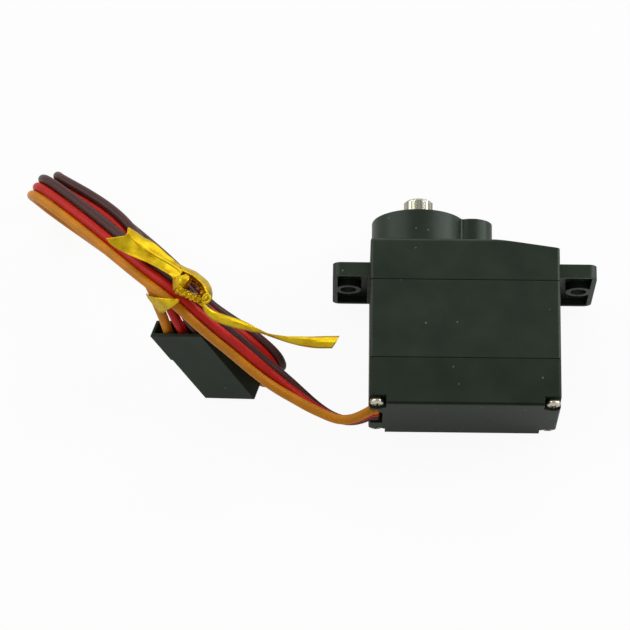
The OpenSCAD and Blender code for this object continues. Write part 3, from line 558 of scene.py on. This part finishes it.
# Twist tie. Gold-lacquered metallised film pressed on a thin steel wire. It is
# wrapped round the bundle and twisted to a crumpled knot, and its two ends stay free.
# the lacquer is a deep yellow over bright metal, so it glints along the creases
foil_gold = finish("metallised film, gold lacquer, creased")
where = add(foil_gold, "TexCoord").outputs["Object"]
mottle = add(foil_gold, "TexNoise", {"Scale": scale_of(1.2), "Detail": 3}, {"Vector": where})
lacquer = add(foil_gold, "ValToRGB", {}, {"Fac": mottle.outputs["Fac"]})
lacquer.color_ramp.elements[0].position = 0.3
lacquer.color_ramp.elements[0].color = linear("#C49C16")
lacquer.color_ramp.elements[1].position = 0.65
lacquer.color_ramp.elements[1].color = linear("#DDC022")
wrinkle = add(foil_gold, "TexNoise", {"Scale": scale_of(0.5), "Detail": 3, "Distortion": 0.6},
              {"Vector": where})
creases = add(foil_gold, "Bump", {"Strength": 0.2, "Distance": 0.03 * MM},
              {"Height": wrinkle.outputs["Fac"]})
gloss = add(foil_gold, "MapRange", {"To Min": 0.36, "To Max": 0.5},
            {"Value": mottle.outputs["Fac"]})
film = add(foil_gold, "BsdfPrincipled", {"Metallic": 1},
           {"Base Color": lacquer.outputs["Color"], "Roughness": gloss.outputs[0],
            "Normal": creases.outputs["Normal"]})
add(foil_gold, "OutputMaterial", {}, {"Surface": film.outputs["BSDF"]})

# the film inside the knot's opening is painted darker and browner than the gold: painted shade for
# the hollow, over the same bright metal
foil_painted_shade = finish("metallised film, painted shade, crumpled")
where = add(foil_painted_shade, "TexCoord").outputs["Object"]
mottle = add(foil_painted_shade, "TexNoise", {"Scale": scale_of(0.6), "Detail": 3}, {"Vector": where})
lacquer = add(foil_painted_shade, "ValToRGB", {}, {"Fac": mottle.outputs["Fac"]})
lacquer.color_ramp.elements[0].position = 0.35
lacquer.color_ramp.elements[0].color = linear("#7E3C0E")
lacquer.color_ramp.elements[1].position = 0.65
lacquer.color_ramp.elements[1].color = linear("#D8921E")
creases = add(foil_painted_shade, "Bump", {"Strength": 0.4, "Distance": 0.04 * MM},
              {"Height": mottle.outputs["Fac"]})
film = add(foil_painted_shade, "BsdfPrincipled", {"Metallic": 1, "Roughness": 0.34},
           {"Base Color": lacquer.outputs["Color"], "Normal": creases.outputs["Normal"]})
add(foil_painted_shade, "OutputMaterial", {}, {"Surface": film.outputs["BSDF"]})


def along(points, t):
    """The place at t on a smooth line through points, t being 0 at the first and 1 at the next."""
    i = min(int(t), len(points) - 2)
    f = t - i
    a, b = points[i], points[i + 1]
    before = points[i - 1] if i > 0 else a * 2 - b
    after = points[i + 2] if i + 2 < len(points) else b * 2 - a
    return (a * (2 * f ** 3 - 3 * f ** 2 + 1) + (b - before) * 0.5 * (f ** 3 - 2 * f ** 2 + f)
            + b * (3 * f ** 2 - 2 * f ** 3) + (after - a) * 0.5 * (f ** 3 - f ** 2))


def foil(name, rows, crumple, size, seed, fine=0.16, thick=0.06, side=foil_gold):
    """A piece of the film through rows of points, crumpled that deep in folds of that size.

    All in millimetres. seed sets where the folds lie, fine the size of a facet, thick the
    film's thickness and side the finish.
    """
    rows = [[Vector(p) for p in row] for row in rows]
    down = sum((a[0] - b[0]).length for a, b in zip(rows, rows[1:]))
    wide = sum((a - b).length for a, b in zip(rows[0], rows[0][1:]))
    n, m = max(8, int(down / fine)), max(6, int(wide / fine))
    grid = []
    for i in range(n + 1):
        line = [along([row[k] for row in rows], i / n * (len(rows) - 1))
                for k in range(len(rows[0]))]
        grid.append([along(line, j / m * (len(line) - 1)) for j in range(m + 1)])
    shape = bmesh.new()
    for i in range(n + 1):
        for j in range(m + 1):
            a = grid[min(i + 1, n)][j] - grid[max(i - 1, 0)][j]
            b = grid[i][min(j + 1, m)] - grid[i][max(j - 1, 0)]
            out = a.cross(b).normalized()
            place = grid[i][j] / size
            fold = abs(noise.noise(place + Vector((seed, 0, 0)))) * 2 - 0.5
            fold += 0.5 * (abs(noise.noise(place * 2.3 + Vector((0, seed, 0)))) * 2 - 0.5)
            shape.verts.new((grid[i][j] + out * fold * crumple) * MM)
    shape.verts.ensure_lookup_table()
    for i in range(n):
        for j in range(m):
            k = i * (m + 1) + j
            shape.faces.new([shape.verts[v] for v in (k, k + 1, k + m + 2, k + m + 1)])
    made = bpy.data.meshes.new(name)
    shape.to_mesh(made)
    shape.free()
    made.materials.append(side)
    made.shade_smooth()
    made.set_sharp_from_angle(angle=math.radians(22))
    piece = bpy.data.objects.new(name, made)
    scene.collection.objects.link(piece)
    skin = piece.modifiers.new("thickness", "SOLIDIFY")
    skin.thickness, skin.offset = thick * MM, 0
    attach(piece, "housing")
    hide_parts("twist_tie")
    return piece


# the upper end lies along the bundle, creased over the wire in it, and its tip stands off
foil("tie_upper_end", [
    [(-39.7, 4.7, 19.9), (-40.3, 4.9, 20.4), (-40.8, 5.0, 20.9),
     (-41.0, 4.1, 20.8), (-42.2, 3.8, 20.8), (-43.4, 3.6, 20.8)],
    [(-38.9, 4.06, 20.0), (-39.6, 4.06, 20.4), (-40.2, 3.56, 20.9),
     (-40.3, 3.46, 20.7), (-41.3, 2.96, 20.6), (-42.7, 2.86, 20.5)],
    [(-38.0, 3.53, 20.2), (-38.6, 3.23, 20.6), (-39.2, 2.73, 20.9),
     (-39.4, 2.53, 20.8), (-40.3, 2.23, 20.5), (-41.3, 2.03, 20.4)],
    [(-36.9, 2.62, 20.45), (-37.4, 2.22, 20.65), (-38.0, 1.82, 21.05),
     (-38.1, 1.72, 20.75), (-38.9, 1.24, 20.75), (-39.7, 1.17, 20.75)],
    [(-36.0, 1.7, 20.7), (-36.3, 1.3, 20.9), (-36.9, 1.1, 21.2),
     (-37.0, 1.0, 20.9), (-37.7, 0.5, 20.9), (-38.1, 0.43, 20.9)],
    [(-35.1, 0.9, 20.9), (-35.4, 0.6, 21.1), (-35.7, 0.4, 21.4),
     (-35.9, 0.3, 21.1), (-36.3, -0.2, 21.0), (-36.7, -0.38, 21.0)],
    [(-34.3, 0.0, 21.5), (-34.5, -0.2, 21.7), (-34.8, -0.3, 21.9),
     (-35.0, -0.5, 21.6), (-35.4, -0.97, 21.5), (-35.7, -1.1, 21.4)],
    [(-33.5, -0.5, 21.8), (-33.8, -0.9, 22.2), (-34.0, -1.1, 22.4),
     (-34.2, -1.4, 22.2), (-34.7, -1.7, 21.9), (-35.1, -1.7, 21.4)],
], crumple=0.02, size=1.6, seed=3)
# the lower end leaves the knot on edge, turns over once and lies out flat
foil("tie_lower_end", [
    [(-31.5, -4.5, 22.2), (-31.6, -4.7, 22.3), (-31.8, -4.6, 21.8)],
    [(-31.2, -4.9, 21.6), (-31.4, -5.1, 21.7), (-31.6, -5.1, 21.0)],
    [(-30.5, -5.3, 20.9), (-30.8, -5.6, 21.0), (-31.1, -5.8, 20.4)],
    [(-29.0, -5.6, 20.0), (-29.4, -6.1, 20.3), (-29.9, -6.4, 19.6)],
    [(-27.0, -6.0, 19.2), (-27.5, -6.5, 19.3), (-28.0, -6.7, 18.6)],
    [(-25.4, -6.6, 18.6), (-25.7, -6.9, 18.5), (-26.0, -6.9, 17.7)],
    [(-24.0, -7.2, 18.1), (-24.3, -7.1, 17.6), (-24.6, -6.9, 16.9)],
    [(-22.1, -7.3, 17.4), (-22.2, -7.5, 17.2), (-22.5, -7.5, 16.4)],
    [(-19.4, -7.1, 16.5), (-19.7, -7.6, 16.6), (-20.1, -8.0, 15.8)],
    [(-17.4, -6.8, 15.8), (-17.7, -7.6, 16.1), (-18.1, -8.1, 15.2)],
    [(-15.3, -6.5, 15.1), (-15.7, -7.4, 15.4), (-16.2, -7.9, 14.6)],
], crumple=0.02, size=1.6, seed=11)
# the wrap passes over the orange and red wires and in under the bundle
foil("tie_wrap", [
    [(-34.4, -4.1, 21.3), (-34.4, -4.3, 21.2), (-34.5, -4.4, 20.9)],
    [(-35.1, -4.1, 21.2), (-35.0, -4.4, 21.1), (-34.9, -4.7, 20.6)],
    [(-36.0, -4.0, 21.0), (-35.8, -4.4, 20.8), (-35.6, -4.9, 19.9)],
    [(-36.9, -3.7, 20.4), (-36.6, -4.3, 20.0), (-36.1, -4.8, 18.6)],
    [(-37.7, -3.2, 19.2), (-37.4, -3.7, 18.5), (-36.7, -4.5, 16.9)],
    [(-38.4, -2.4, 17.6), (-38.1, -2.9, 16.9), (-37.1, -3.9, 15.2)],
    [(-38.7, -1.6, 15.8), (-38.3, -2.0, 14.8), (-37.3, -3.0, 13.5)],
], crumple=0.12, size=0.7, seed=23, fine=0.12)
# the knot: the upper end folds over on the left, runs round on the right in a
# standing loop and is crumpled tight along the lower side
foil("tie_fold", [
    [(-33.4, -0.6, 21.9), (-33.7, -1.5, 22.8), (-34.4, -1.7, 22.7), (-35.1, -1.6, 21.6)],
    [(-33.0, -1.2, 22.2), (-33.4, -2.1, 23.0), (-34.3, -2.5, 22.9), (-35.2, -2.3, 21.4)],
    [(-33.0, -1.8, 22.3), (-33.4, -2.5, 22.9), (-34.2, -3.0, 22.6), (-35.2, -2.7, 21.2)],
    [(-33.3, -2.0, 21.6), (-33.6, -2.8, 22.2), (-34.2, -3.3, 22.2), (-34.9, -3.2, 21.0)],
], crumple=0.09, size=0.9, seed=31, fine=0.12)
foil("tie_loop", [
    [(-34.3, 0.2, 21.2), (-34.3, -0.3, 22.0), (-34.2, -0.9, 22.5), (-34.0, -1.1, 21.9)],
    [(-33.6, -0.3, 21.6), (-33.4, -1.0, 22.5), (-33.2, -1.5, 22.8), (-33.2, -1.5, 21.8)],
    [(-32.6, -0.7, 21.5), (-32.5, -1.4, 22.5), (-32.6, -1.9, 22.9), (-32.8, -1.8, 21.7)],
    [(-31.9, -1.1, 21.3), (-31.9, -1.9, 22.4), (-32.1, -2.3, 22.9), (-32.4, -2.1, 21.6)],
    [(-31.2, -1.7, 21.2), (-31.3, -2.4, 22.3), (-31.6, -2.8, 22.9), (-32.0, -2.6, 21.6)],
    [(-30.7, -2.4, 21.1), (-30.9, -3.0, 22.2), (-31.3, -3.4, 22.8), (-31.8, -3.0, 21.5)],
    [(-30.5, -3.2, 21.0), (-30.7, -3.7, 22.1), (-31.1, -3.9, 22.7), (-31.7, -3.4, 21.4)],
    [(-30.6, -4.0, 20.9), (-30.8, -4.3, 22.0), (-31.2, -4.4, 22.6), (-31.8, -3.8, 21.3)],
    [(-31.2, -4.5, 20.8), (-31.4, -4.8, 21.9), (-31.6, -4.8, 22.5), (-32.0, -4.1, 21.3)],
], crumple=0.03, size=1.2, seed=37, fine=0.12)
foil("tie_crumple", [
    [(-35.0, -3.2, 20.8), (-34.7, -3.3, 22.2), (-34.3, -2.9, 21.8)],
    [(-34.4, -3.6, 20.9), (-34.1, -3.8, 22.6), (-33.8, -3.3, 21.9)],
    [(-33.6, -3.8, 20.9), (-33.4, -4.1, 22.9), (-33.2, -3.5, 22.0)],
    [(-32.9, -4.1, 20.9), (-32.7, -4.4, 22.9), (-32.7, -3.7, 22.0)],
    [(-32.2, -4.4, 20.8), (-32.1, -4.6, 22.8), (-32.1, -3.9, 21.9)],
    [(-31.5, -4.6, 20.8), (-31.6, -4.8, 22.4), (-31.7, -4.2, 21.6)],
], crumple=0.13, size=0.45, seed=43, fine=0.09)
# torn film lines the opening and shreds of it cross over, coloured darker and browner as painted
# shade inside the knot
foil("tie_lining_0", [
    [(-34.7, -2.5, 21.9), (-34.3, -2.7, 21.8), (-34.0, -2.8, 21.2)],
    [(-34.2, -2.0, 22.3), (-33.9, -2.3, 22.1), (-33.6, -2.4, 21.3)],
    [(-33.5, -1.7, 22.4), (-33.3, -2.0, 22.1), (-33.2, -2.1, 21.4)],
    [(-32.7, -2.0, 22.3), (-32.6, -2.2, 22.1), (-32.6, -2.2, 21.3)],
    [(-31.9, -2.4, 22.2), (-32.0, -2.6, 22.0), (-32.1, -2.5, 21.3)],
    [(-31.4, -3.2, 22.2), (-31.7, -3.2, 22.0), (-31.9, -3.0, 21.3)],
    [(-31.4, -3.9, 22.1), (-31.7, -3.7, 21.9), (-31.9, -3.4, 21.3)],
], crumple=0.16, size=0.5, seed=61, fine=0.09, side=foil_painted_shade)
foil("tie_lining_1", [
    [(-34.7, -3.1, 21.8), (-34.3, -2.9, 21.8), (-34.0, -2.7, 21.2)],
    [(-34.0, -3.6, 22.1), (-33.8, -3.4, 21.9), (-33.5, -2.9, 21.3)],
    [(-33.3, -4.0, 22.2), (-33.2, -3.7, 22.0), (-33.0, -3.2, 21.3)],
    [(-32.5, -4.3, 22.2), (-32.4, -3.9, 22.0), (-32.4, -3.4, 21.3)],
    [(-31.7, -4.4, 22.0), (-31.8, -4.0, 21.9), (-31.9, -3.4, 21.3)],
], crumple=0.16, size=0.5, seed=67, fine=0.09, side=foil_painted_shade)
for number, rows in enumerate(([
    [(-33.3, -2.0, 22.0), (-33.3, -2.2, 21.9)],
    [(-32.6, -2.4, 22.2), (-32.6, -2.5, 22.0)],
    [(-31.9, -2.5, 21.9), (-32.0, -2.6, 21.7)],
    [(-31.4, -2.6, 22.3), (-31.5, -2.7, 22.1)],
], [
    [(-33.8, -2.9, 22.0), (-33.6, -3.1, 21.8)],
    [(-33.4, -2.5, 22.2), (-33.2, -2.6, 22.0)],
    [(-33.1, -2.1, 22.4), (-32.9, -2.2, 22.2)],
], [
    [(-32.5, -2.8, 21.6), (-32.4, -3.1, 21.5)],
    [(-31.8, -2.8, 22.0), (-31.8, -3.0, 21.8)],
    [(-31.1, -2.9, 22.5), (-31.0, -3.1, 22.3)],
])):
    foil("tie_shred_%d" % number, rows, crumple=0.05, size=0.5, seed=51 + number, fine=0.1,
         side=foil_painted_shade)
# two strands twisted tight along the knot's lower side
strand = [Vector(p) for p in (
    (-34.8, -3.2, 22.7), (-34.1, -3.7, 23.0), (-33.4, -4.2, 23.1), (-32.7, -4.5, 23.0),
    (-32.0, -4.7, 22.7), (-31.5, -4.9, 22.2))]
strand_r, strand_turns, strand_steps = 0.3, 3.5, 60
across_strand = (0.1, 0.8, 1.5)
for number in (0, 1):
    rows = []
    for i in range(strand_steps + 1):
        t = i / strand_steps * (len(strand) - 1)
        centre = along(strand, t)
        way = along(strand, min(t + 0.1, len(strand) - 1)) - along(strand, max(t - 0.1, 0))
        way = way.normalized()
        aside = way.cross(Vector((0, 0, 1))).normalized()
        up = aside.cross(way)
        angle = 2 * math.pi * strand_turns * i / strand_steps + number * math.pi
        reach_out = aside * math.cos(angle) + up * math.sin(angle)
        rows.append([centre + reach_out * strand_r * s for s in across_strand])
    foil("tie_strand_%d" % number, rows, crumple=0.06, size=0.4, seed=41 + number, fine=0.1)

# the end of the tie's wire, still in its film, curls out of the knot
tie_wire_d = 0.32
tie_wire = [(-31.6, -4.9, 22.7), (-31.5, -4.4, 23.1), (-31.1, -4.1, 23.3), (-30.7, -4.3, 23.2),
            (-30.6, -4.8, 23.0), (-31.0, -5.1, 22.8), (-31.5, -5.0, 22.6)]
curl = bpy.data.curves.new("tie_curl", "CURVE")
curl.dimensions = "3D"
curl.bevel_depth = tie_wire_d / 2  # in millimetres, as in the lead
curl.bevel_resolution = 4
curl.use_fill_caps = True
bend = curl.splines.new("NURBS")
bend.points.add(len(tie_wire) - 1)
for point, place in zip(bend.points, tie_wire):
    point.co, point.radius = (*(Vector(place) * MM), 1), MM
bend.order_u = 4
bend.use_endpoint_u = True
curl.materials.append(foil_gold)
tie_curl = bpy.data.objects.new("tie_curl", curl)
scene.collection.objects.link(tie_curl)
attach(tie_curl, "housing")
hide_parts("twist_tie")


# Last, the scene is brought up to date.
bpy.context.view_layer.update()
